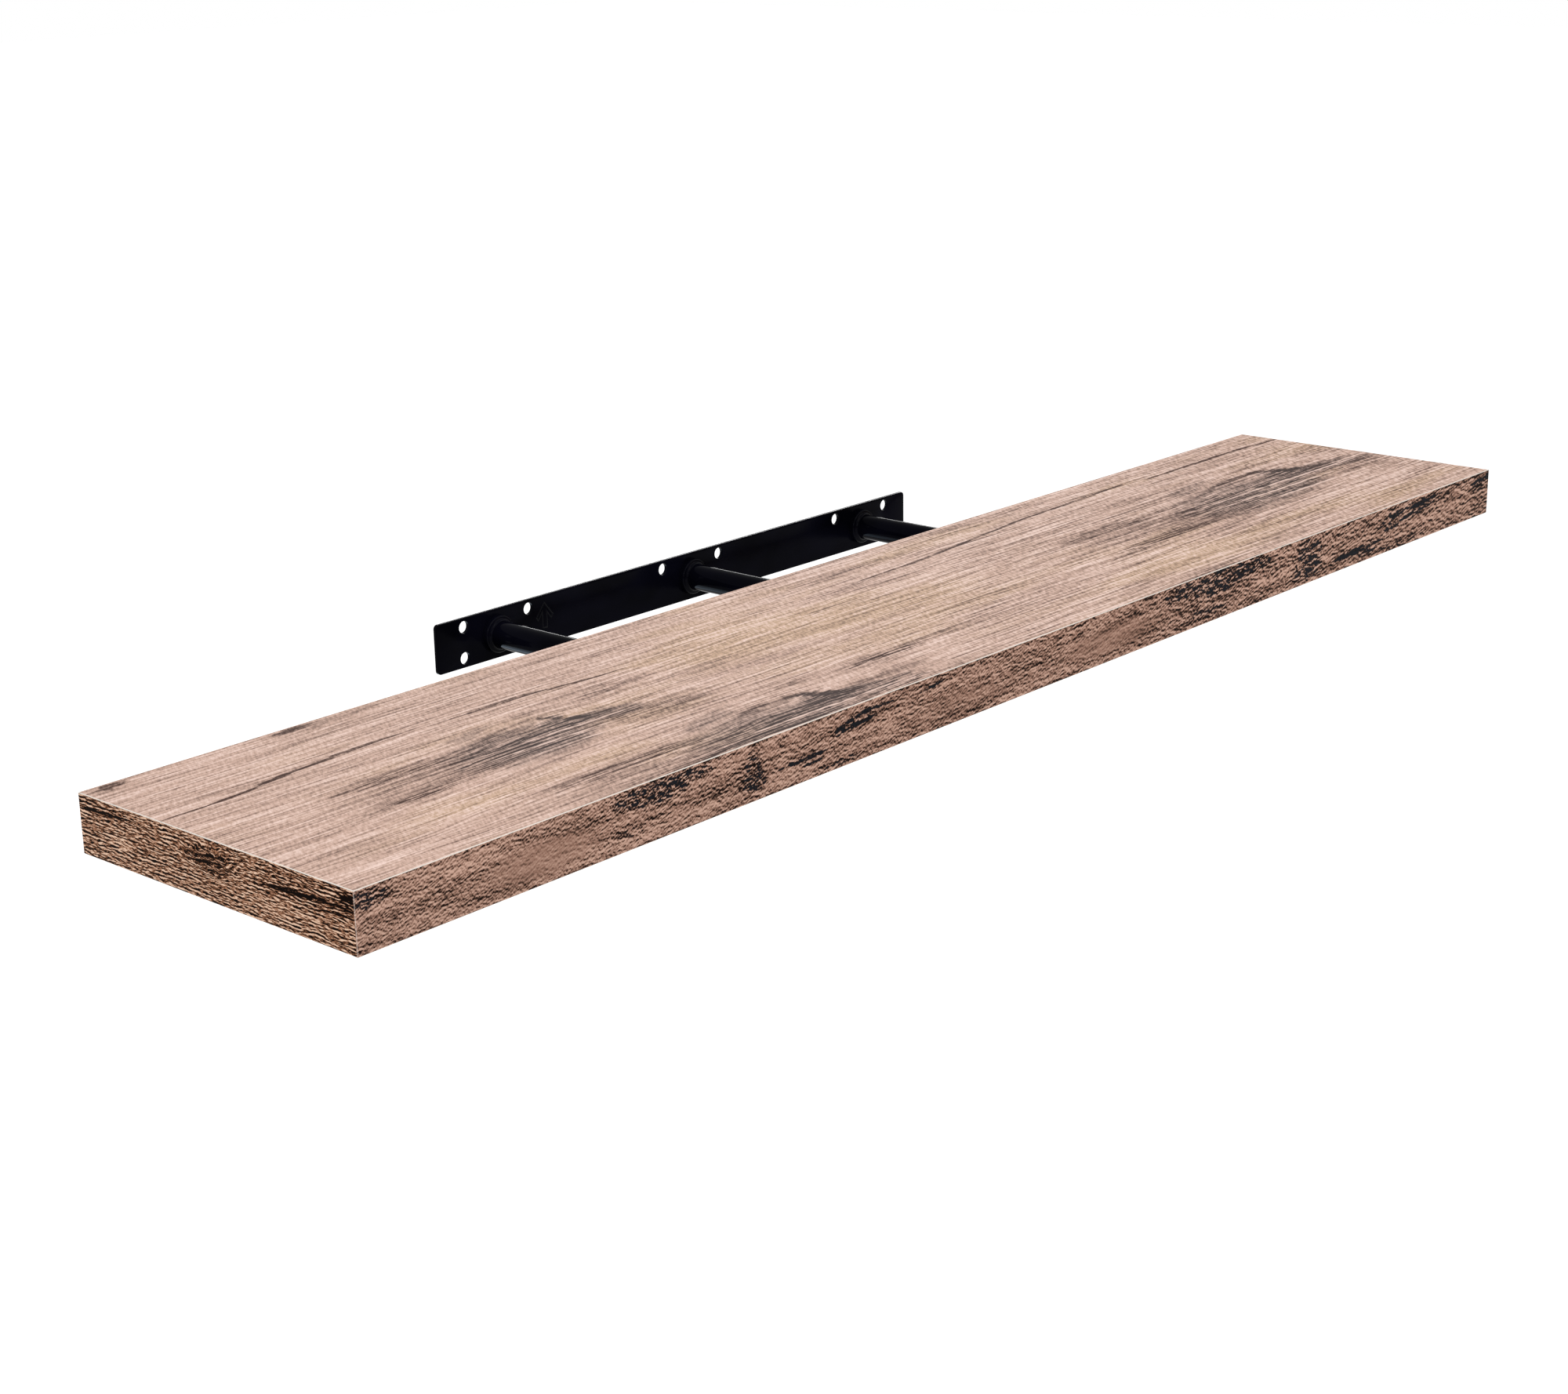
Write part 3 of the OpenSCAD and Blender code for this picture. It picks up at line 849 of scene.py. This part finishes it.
def end_print(colours):
    """Print of the board's ends: black wavy lines and pale ridges on warm tan, round a knot."""
    f = Finish("End_print", 0.6, 0.02)
    at, (u, w) = on_board(f, "end")
    knot = f.spot(at, (118, 5), (32, 12))
    level = f.times(f.noise(at, (30, 14), 3.3, detail=1.0), 1.8, w)
    wave = f.noise(at, (7, 4), 5.5)
    level = f.times(wave, f.times(knot, 4.0, 1.2), level)
    flow = f.joined(u, level)
    rows = f.math("SINE", f.times(level, 2 * math.pi / END_LINE_PITCH))
    fine = f.relief(flow, (6.5, 1.15), 7.7, (0.0, 0.7))
    short = f.noise(flow, (3.4, 1.3), 1.9, detail=1.0, roughness=0.6)
    coarse = f.noise(flow, (24, 3.0), 6.9, detail=1.0)
    value = tone(f, ((fine, 2.3), (short, 1.2), (coarse, 0.4)))
    ruled = f.math("MAXIMUM", f.spot(at, (176, -6), (74, 14)), f.noise(at, (40, 10), 12.9, detail=1.0))
    value = f.times(rows, f.step(ruled, 0.35, 0.75, 0.05, 0.34), value)
    value = f.times(f.spots(at, END_SPOTS), -0.2, f.minus(value, 0.05))
    strokes = Strokes(f, u, w, ACROSS_BOARD, UP_BOARD, f.step(short, 0.3, 0.65, 0.5, 1.3))
    for points in END_LINES:
        value = f.times(strokes.mask(points, 1.0), -0.6, value)
    print_now = depths(f, value, (colours.end_dark, colours.end_middle, colours.end_pale), END_LEVELS)
    f.bump(value, 0.25, GRAIN_DEPTH)
    return f.paint(painted_edge_highlight(f, print_now, colours))


# The bracket's coats: roughness, reflection and size of the orange peel
COATS = {
    "Plate_coat": (0.2, 0.015, 0.9 * MM),
    "Arrow_coat": (0.12, 0.05, 0.9 * MM),
    "Rod_coat": (0.08, 0.012, 1.1 * MM),
    "Collar_coat": (0.07, 0.025, 0.8 * MM),
}


def coat_paint(name, colours):
    """Gloss black coat with a faint orange peel and a little uneven blue."""
    roughness, specular, grain = COATS[name]
    f = Finish(name, roughness, specular)
    peel = f.noise(f.place, (grain, grain, grain), 1.0)
    cloud = f.noise(f.place, (0.05, 0.05, 0.03), 4.0)
    f.bump(peel, 0.12, 0.05 * MM)
    return f.paint(shades(f, cloud, colours.coat, ((0.35, 0.55), (0.65, 1.5))))


def plug_plastic(colours):
    """Moulded black plastic with a fine spark-eroded grain."""
    f = Finish("Plug_plastic", 0.45, 0.4)
    grain = f.noise(f.place, [0.4 * MM] * 3, 2.0)
    f.bump(grain, 0.2, 0.05 * MM)
    return f.paint(shades(f, grain, colours.plug, ((0.3, 0.8), (0.7, 1.2))))


def fibreboard(colours):
    """Raw fibreboard: brown with darker and paler specks, and faint layers through its thickness."""
    f = Finish("Fibreboard", 0.85, 0.2)
    fibre = f.noise(f.place, (3.0 * MM, 3.0 * MM, 0.25 * MM), 1.0, detail=3.0, roughness=0.65)
    speck = f.noise(f.place, (0.7 * MM, 0.7 * MM, 0.3 * MM), 6.0, detail=1.0)
    value = f.times(speck, 0.4, f.times(fibre, 0.6))
    f.bump(value, 0.3, 0.1 * MM)
    return f.paint(shades(f, value, colours.fibreboard, ((0.3, 0.6), (0.5, 1.0), (0.7, 1.35))))


def softwood(name, colours, axis):
    """Planed softwood: yearly rings round a line along the grain, with fine fibres along it."""
    f = Finish(name, 0.62, 0.25)
    along = {"X": 0, "Y": 1}[axis]
    ring_width = 3.4 * MM
    size = [9.0 * MM] * 3
    size[along] = 160 * MM
    warp = f.noise(f.place, size, 3.0)
    x, y, z = f.parts(f.place)
    from_pith = f.joined(f.plus(y if axis == "X" else x, 0.05), f.plus(z, 0.055))
    far = f.vector("LENGTH", from_pith, result="Value")
    ring = f.math("FRACT", f.times(warp, 2.2, f.times(far, 1 / ring_width)))
    late = f.math("POWER", ring, 3.0)
    size = [0.5 * MM] * 3
    size[along] = 14 * MM
    fibre = f.noise(f.place, size, 5.0)
    value = f.times(fibre, 0.35, f.times(late, 0.65))
    f.bump(value, 0.25, 0.1 * MM)
    tint = colours.softwood
    return f.paint(f.ramp(value, ((0.1, tint), (0.4, tuple(c * 0.86 for c in tint)),
                                  (0.85, (tint[0] * 0.72, tint[1] * 0.56, tint[2] * 0.4)))))


def kraft_card(colours):
    """Kraft card: brown paper with long loose fibres and small dark specks."""
    f = Finish("Kraft_card", 0.9, 0.15)
    fibre = f.noise(f.place, (4 * MM, 4 * MM, 1 * MM), 1.0, detail=3.0, roughness=0.7, distortion=0.6)
    f.bump(fibre, 0.25, 0.1 * MM)
    return f.paint(shades(f, fibre, colours.card, ((0.3, 0.7), (0.5, 1.0), (0.7, 1.25))))


def dress(node, material):
    """Gives a CAD node's own object a new material in its first slot."""
    mesh_object = frame["nodes"][node]
    if mesh_object.material_slots:
        mesh_object.material_slots[0].material = material
    else:
        mesh_object.data.materials.append(material)


# Operators


class SHELF_OT_stage(bpy.types.Operator):
    """Sets up the camera, the pale floor, the white surroundings and the soft lamps"""

    bl_idname = "shelf.stage"
    bl_label = "Stage"

    def execute(self, context):
        stage = context.scene.shelf_stage
        self.camera(context.scene, stage)
        self.surroundings(context.scene, stage)
        self.floor(context.scene, stage)
        self.lamps(context.scene)
        context.scene.view_settings.view_transform = "Standard"
        return {"FINISHED"}

    def camera(self, scene, stage):
        data = bpy.data.cameras.new("Camera")
        data.sensor_fit = "HORIZONTAL"
        data.sensor_width = 36.0
        data.lens = stage.lens
        data.clip_start, data.clip_end = 0.05, 100.0
        camera = bpy.data.objects.new("Camera", data)
        scene.collection.objects.link(camera)
        turn = Euler((math.pi / 2 - stage.elevation, 0.0, stage.azimuth)).to_matrix()
        turn = turn @ Matrix.Rotation(-stage.roll, 3, "Z")
        camera.matrix_world = Matrix.Translation(stage.camera_place) @ turn.to_4x4()
        scene.camera = camera

    def seen_directly(self, nodes):
        """1 for rays from the camera, off a mirror or through glass, and 0 for the rest."""
        rays = nodes.add("ShaderNodeLightPath").outputs
        seen = nodes.math("MAXIMUM", rays["Is Camera Ray"], rays["Is Glossy Ray"])
        return nodes.math("MAXIMUM", seen, rays["Is Transmission Ray"])

    def surroundings(self, scene, stage):
        world = bpy.data.worlds.new("Surroundings")
        world.use_nodes = True
        nodes = Nodes(world.node_tree)
        background = next(n for n in nodes.tree.nodes if n.type == "BACKGROUND")
        background.inputs["Color"].default_value = opaque(WHITE)
        ends = {"Value": self.seen_directly(nodes), "To Min": stage.sky, "To Max": 1.0}
        nodes.feed(background.inputs["Strength"], nodes.fed("ShaderNodeMapRange", ends).outputs[0])
        scene.world = world

    def floor(self, scene, stage):
        corners = np.array([[-1, -1], [1, -1], [1, 1], [-1, 1]]) * stage.floor_half
        mesh = bpy.data.meshes.new("Floor")
        mesh.from_pydata([(x, y, -stage.floor_depth) for x, y in corners], [], [(0, 1, 2, 3)])
        floor = bpy.data.objects.new("Floor", mesh)
        scene.collection.objects.link(floor)
        f = Finish("Pale_floor", 0.9, 0.1)
        cloud = f.noise(f.place, (0.9, 0.9, 0.9), 1.0)
        glow = f.times(self.seen_directly(f), stage.floor_glow)
        f.shader.inputs["Emission Color"].default_value = opaque(WHITE)
        f.feed(f.shader.inputs["Emission Strength"], glow)
        f.paint(shades(f, cloud, (0.8, 0.8, 0.8), ((0.3, 0.99), (0.7, 1.01))))
        mesh.materials.append(f.material)

    def lamps(self, scene):
        middle = (Vector(CAD_BOX[0]) + Vector(CAD_BOX[1])) / 2
        rows = (
            ("Key", (-0.9, -1.6, 2.6), (2.2, 1.6), 30.0, WHITE),
            ("Fill", (1.6, -2.4, 1.0), (1.6, 1.6), 12.0, WHITE),
            ("Left strip", (-2.4, -0.6, 1.0), (0.08, 1.2), 8.0, WHITE),
            ("Back strip", (1.9, 2.2, 0.75), (1.8, 0.12), 13.0, WHITE),
            ("Low strip", (-0.44, 1.26, -1.2), (1.0, 0.4), 7.0, PALE_BLUE),
        )
        for name, place, (wide, high), watts, tint in rows:
            data = bpy.data.lights.new(name, "AREA")
            data.shape = "RECTANGLE"
            data.size, data.size_y, data.energy, data.color = wide, high, watts, tint
            lamp = bpy.data.objects.new(name, data)
            lamp.location = middle + Vector(place)
            lamp.rotation_euler = (-Vector(place)).to_track_quat("-Z", "Y").to_euler()
            lamp.visible_camera = False
            scene.collection.objects.link(lamp)


class SHELF_OT_wall_plate(bpy.types.Operator):
    """Builds the coated wall plate with its screw holes, and the raised arrow that shows which way is up"""

    bl_idname = "shelf.wall_plate"
    bl_label = "Wall plate"

    def execute(self, context):
        sizes, colours = context.scene.shelf_sizes, context.scene.shelf_finish
        low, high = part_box("wall_plate")
        mounts = {m["name"]: m for m in frame["record"]["mounts"]}
        holes = [(*hole_outline(x, z, radius), sizes.hole_rim) for x, z, radius in self.holes(mounts)]
        outline = rectangle_outline((high.x - low.x) / 2, (high.z - low.z) / 2, sizes.plate_corner)
        plate = pierced_plate((*outline, sizes.plate_edge), holes, low.y, high.y)
        coat = coat_paint("Plate_coat", colours)
        add_piece("Coated_plate", plate, BRACKET, "plate_coat", coat, "wall_plate")
        arrow = raised_line(self.arrow(sizes), sizes.arrow_line, sizes.arrow_relief, low.y, ARROW_SINK)
        glossy = coat_paint("Arrow_coat", colours)
        add_piece("Raised_arrow", arrow, BRACKET, "plate_coat", glossy)
        return {"FINISHED"}

    def holes(self, mounts):
        """Centres and radius of the screw holes, from the record's bolt patterns."""
        found = []
        for name in ("corner_holes", "inner_end_holes", "centre_holes"):
            dims, place = mounts[name]["dims"], mounts[name]["pos_m"]
            radius = dims["hole_r_mm"] * MM
            half_x = dims["spacing_x_mm"] * MM / 2
            half_z = dims.get("spacing_y_mm", 0.0) * MM / 2
            for side in (-1, 1):
                for level in ((-1, 1) if half_z else (1,)):
                    found.append((side * half_x, place[2] + level * half_z, radius))
        return found

    def arrow(self, sizes):
        """Closed outline of an arrow with a barbed head, in shares of its width and height from its tip."""
        shares = np.array([
            (0.0, 0.0), (0.5, -0.54), (0.40, -0.66), (0.13, -0.36), (0.13, -1.0),
            (-0.13, -1.0), (-0.13, -0.36), (-0.40, -0.66), (-0.5, -0.54),
        ])
        tip = np.array([sizes.arrow_along, sizes.arrow_up])
        return tip + shares * [sizes.arrow_width, sizes.arrow_height]


class SHELF_OT_rods(bpy.types.Operator):
    """Builds the three coated tubes, the collars at their feet and the plugs in their ends"""

    bl_idname = "shelf.rods"
    bl_label = "Rods"

    def execute(self, context):
        sizes, colours = context.scene.shelf_sizes, context.scene.shelf_finish
        coat, collar_coat = (coat_paint(name, colours) for name in ("Rod_coat", "Collar_coat"))
        plastic = plug_plastic(colours)
        for place in PLACES:
            axis = sum(c.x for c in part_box(f"rod_{place}")) / 2
            for name, node, section, slot, material in (
                ("Tube", "rod", self.tube(place, sizes), "rod_coat", coat),
                ("Foot_collar", "rod_collar", self.collar(place, sizes), "collar_coat", collar_coat),
                ("End_plug", "rod_plug", self.plug(place, sizes), "plug_plastic", plastic),
            ):
                surface = turned(section, axis)
                add_piece(f"{name}_{place}", surface, BRACKET, slot, material, f"{node}_{place}")
        return {"FINISHED"}

    def radius(self, node):
        """Half of a round node's width."""
        low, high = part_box(node)
        return (high.x - low.x) / 2

    def rounded(self, outer, face, ease, count=6):
        """Quarter circle from a tube's wall round to its end face, as points of (radius, y)."""
        turn = quarter(0, count)
        return np.stack([outer - ease * (1 - np.cos(turn)), face + ease * (1 - np.sin(turn))], 1).tolist()

    def tube(self, place, sizes):
        """Wall of a tube: its outside with a rounded end, and its bore."""
        low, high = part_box(f"rod_{place}")
        outer = self.radius(f"rod_{place}")
        inner = outer - sizes.tube_wall
        end = self.rounded(outer, low.y, sizes.tube_edge)
        return [(inner, high.y), (outer, high.y), *end, (inner, low.y)]

    def collar(self, place, sizes):
        """Collar with a rounded rim, then a hollow quarter circle down to its lip on the tube."""
        low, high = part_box(f"rod_collar_{place}")
        outer, tube = self.radius(f"rod_collar_{place}"), self.radius(f"rod_{place}")
        lip, inner = tube + sizes.collar_lip, tube + sizes.collar_fit
        fillet = (high.y - low.y) - sizes.collar_length
        steps = 9
        rim_round = self.rounded(outer, low.y + fillet, sizes.collar_round, steps)
        turn = quarter(0, steps)
        hollow = np.stack([lip + fillet * (1 - np.sin(turn)), low.y + fillet * np.cos(turn)], 1)
        return [(inner, high.y), (outer, high.y), *rim_round, *hollow.tolist(), (inner, low.y)]

    def plug(self, place, sizes):
        """Plug with a shank in the tube and a head whose nose is rounded."""
        low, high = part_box(f"rod_plug_{place}")
        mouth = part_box(f"rod_{place}")[0].y
        head = self.radius(f"rod_plug_{place}")
        shank = self.radius(f"rod_{place}") - sizes.tube_wall - sizes.plug_fit
        nose = self.rounded(head, low.y, sizes.plug_nose)
        return [(0.0, high.y), (shank, high.y), (shank, mouth), (head, mouth), *nose, (0.0, low.y)]


class SHELF_OT_edge_bands(bpy.types.Operator):
    """Builds the printed bands on the board's front and ends, with eased edges that carry a painted pale
    highlight
    """

    bl_idname = "shelf.edge_bands"
    bl_label = "Edge bands"

    def execute(self, context):
        sizes, colours = context.scene.shelf_sizes, context.scene.shelf_finish
        front, ends = front_print(colours), end_print(colours)
        for name, along, outwards, material, slot in (
            ("front", (1, 0, 0), (0, -1, 0), front, "front_print"),
            ("left", (0, 1, 0), (-1, 0, 0), ends, "end_print"),
            ("right", (0, 1, 0), (1, 0, 0), ends, "end_print"),
        ):
            low, high = (np.array(c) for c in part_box(f"{name}_edge_band"))
            corner = np.where(np.array(outwards) < 0, high, low) * (1, 1, 0)
            extent = high - low
            thickness, run = (float(abs(extent @ np.array(way))) for way in (outwards, along))
            band = edge_band(corner, along, outwards, thickness, extent[2] / 2, run, sizes.band_ease)
            add_piece(f"{name.capitalize()}_band", band, BOARD, slot, material, f"{name}_edge_band")
        return {"FINISHED"}


class SHELF_OT_board(bpy.types.Operator):
    """Finishes the printed laminates, and the panels, rails, guides and honeycomb inside the board"""

    bl_idname = "shelf.board"
    bl_label = "Board"

    def execute(self, context):
        colours = context.scene.shelf_finish
        dress("top_laminate", top_print(colours))
        dress("bottom_laminate", top_print(colours, drawn=False))
        panels = fibreboard(colours)
        for node in ("top_panel", "bottom_panel"):
            dress(node, panels)
        long_rails = softwood("Softwood_long", colours, "X")
        cross_rails = softwood("Softwood_cross", colours, "Y")
        for node in ("front_rail", "back_rail"):
            dress(node, long_rails)
        for node in ("left_end_rail", "right_end_rail", *(f"rod_guide_{place}" for place in PLACES)):
            dress(node, cross_rails)
        card = kraft_card(colours)
        for node in ("left_end", "left", "right", "right_end"):
            dress(f"honeycomb_{node}", card)
        return {"FINISHED"}


class SHELF_PT_panel(bpy.types.Panel):
    """Lists the shelf's sizes, colours and building steps"""

    bl_label = "Wall shelf"
    bl_idname = "SHELF_PT_panel"
    bl_space_type = "VIEW_3D"
    bl_region_type = "UI"
    bl_category = "Wall shelf"

    def draw(self, context):
        for group_name, group in GROUPS.items():
            box = self.layout.box()
            for name in group.__annotations__:
                box.prop(getattr(context.scene, group_name), name)
        for operator in OPERATORS:
            self.layout.operator(operator.bl_idname)


GROUPS = {"shelf_sizes": ShelfSizes, "shelf_finish": ShelfFinish, "shelf_stage": ShelfStage}
OPERATORS = (SHELF_OT_stage, SHELF_OT_wall_plate, SHELF_OT_rods, SHELF_OT_edge_bands, SHELF_OT_board)
CLASSES = (*GROUPS.values(), *OPERATORS, SHELF_PT_panel)


def register():
    for one in CLASSES:
        bpy.utils.register_class(one)
    for name, group in GROUPS.items():
        setattr(bpy.types.Scene, name, PointerProperty(type=group))


def unregister():
    for name in GROUPS:
        delattr(bpy.types.Scene, name)
    for one in reversed(CLASSES):
        bpy.utils.unregister_class(one)


def main():
    register()
    bpy.ops.shelf.stage()
    bpy.ops.shelf.wall_plate()
    bpy.ops.shelf.rods()
    bpy.ops.shelf.edge_bands()
    bpy.ops.shelf.board()


if __name__ == "__main__":
    main()
